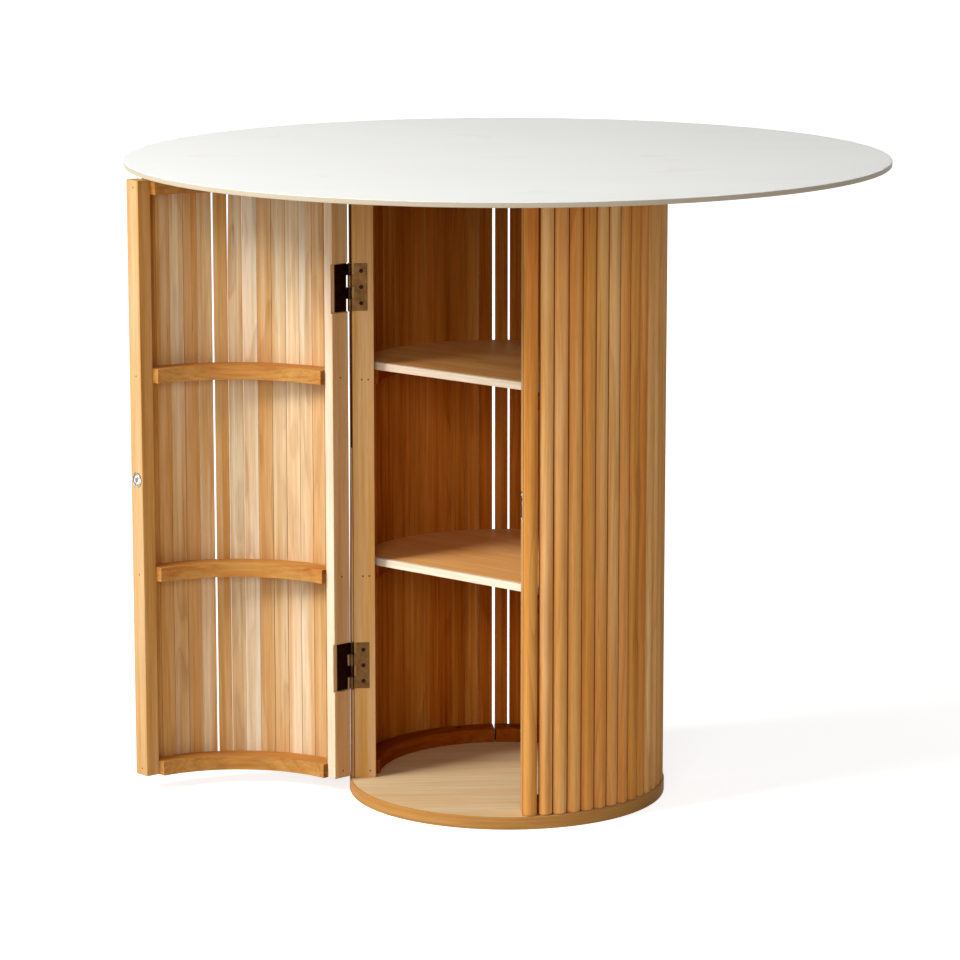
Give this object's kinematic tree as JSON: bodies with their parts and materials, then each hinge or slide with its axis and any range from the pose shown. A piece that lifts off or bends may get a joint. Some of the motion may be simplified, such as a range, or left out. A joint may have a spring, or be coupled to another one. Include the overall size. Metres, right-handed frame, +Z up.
{
  "type": "kitchen table with storage cabinet",
  "caption": "Round kitchen table with a thin slab top on a fluted round wooden cabinet, with shelves and one curved hinged door.",
  "frame": {"origin": "centre of the round base board's underside, on the floor", "axes": "+Z up along the cabinet's axis; the doorway faces -Y and -X, and +X points to the side where the wall is closed"},
  "size_m": [0.8999, 0.9, 0.766],
  "materials": {
    "slab": "matt white stone slab with faint grey veining",
    "batten_wood": "clear satin lacquer on pale honey wood",
    "frame_wood": "clear satin lacquer",
    "rail_wood": "clear satin lacquer on cut curves",
    "board_wood": "veneered board, clear satin lacquer",
    "hinge_bronze": "antique bronze plating",
    "catch_steel": "nickel plated",
    "screw_steel": "zinc plated"
  },
  "bodies": {
    "cabinet": {"base_board": "board_wood", "bottom_ledger_back": "rail_wood", "bottom_ledger_left": "rail_wood", "bottom_ledger_right": "rail_wood", "hinge_post": "frame_wood", "hinge_screws_cabinet": "hinge_bronze", "latch_post": "frame_wood", "ledger_screws": "screw_steel", "lower_hinge_cabinet_leaf": "hinge_bronze", "lower_hinge_pin": "hinge_bronze", "lower_ledger_back": "rail_wood", "lower_ledger_left": "rail_wood", "lower_ledger_right": "rail_wood", "lower_shelf": "board_wood", "post_screws": "screw_steel", "strike_plate": "catch_steel", "strike_screws": "catch_steel", "table_top": "slab", "top_board": "board_wood", "top_ledger_back": "rail_wood", "top_ledger_left": "rail_wood", "top_ledger_right": "rail_wood", "upper_hinge_cabinet_leaf": "hinge_bronze", "upper_hinge_pin": "hinge_bronze", "upper_ledger_back": "rail_wood", "upper_ledger_left": "rail_wood", "upper_ledger_right": "rail_wood", "upper_shelf": "board_wood", "wall_battens_back": "batten_wood", "wall_battens_left": "batten_wood", "wall_battens_right": "batten_wood"},
    "door": {"catch_magnet": "catch_steel", "catch_magnet_screw": "catch_steel", "door_batten_01": "batten_wood", "door_batten_02": "batten_wood", "door_batten_03": "batten_wood", "door_batten_04": "batten_wood", "door_batten_05": "batten_wood", "door_batten_06": "batten_wood", "door_batten_07": "batten_wood", "door_batten_08": "batten_wood", "door_batten_09": "batten_wood", "door_batten_10": "batten_wood", "door_batten_11": "batten_wood", "door_batten_12": "batten_wood", "door_batten_13": "batten_wood", "door_batten_14": "batten_wood", "door_batten_15": "batten_wood", "door_batten_16": "batten_wood", "door_rib_bottom": "rail_wood", "door_rib_lower": "rail_wood", "door_rib_top": "rail_wood", "door_rib_upper": "rail_wood", "free_stile": "frame_wood", "hinge_screws_door": "hinge_bronze", "hinge_stile": "frame_wood", "lower_hinge_door_leaf": "hinge_bronze", "upper_hinge_door_leaf": "hinge_bronze"}
  },
  "joints": [
    {"name": "door_hinge", "type": "hinge", "parent": "cabinet", "child": "door", "pos_m": [-0.18597, -0.01758, 0.1544], "axis": [0, 0, 1], "range_deg": [-17.5, 142.5]}
  ]
}
